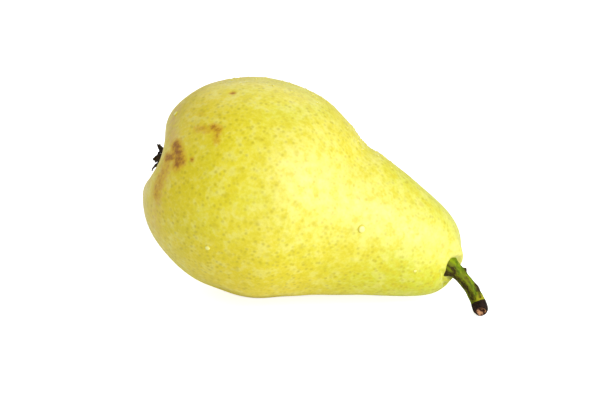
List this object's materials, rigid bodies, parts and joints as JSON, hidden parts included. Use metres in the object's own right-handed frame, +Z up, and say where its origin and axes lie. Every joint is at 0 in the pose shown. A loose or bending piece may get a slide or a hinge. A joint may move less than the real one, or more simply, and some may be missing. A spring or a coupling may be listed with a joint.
{
  "type": "pear",
  "caption": "Ripe pear lying on its side, with a broad bulb, a tapering neck, a short bent stem and a dried calyx in a shallow basin.",
  "frame": {"origin": "under the middle of the whole object's box, on the surface that the pear lies on", "axes": "+X runs towards the stem end, +Z up, +Y completes the frame"},
  "size_m": [0.1088, 0.0682, 0.069],
  "materials": {
    "skin": "waxy yellow-green fruit skin with small olive lenticels and russet patches",
    "stem_bark": "green woody bark mottled with brown, dark at the broken end",
    "dried_calyx": "dull blackish brown, dried and brittle"
  },
  "bodies": {
    "root": {"fruit": "skin", "stem": "stem_bark", "sepal_1": "dried_calyx", "sepal_2": "dried_calyx", "sepal_3": "dried_calyx", "sepal_4": "dried_calyx", "sepal_5": "dried_calyx", "stamens": "dried_calyx"}
  },
  "joints": []
}
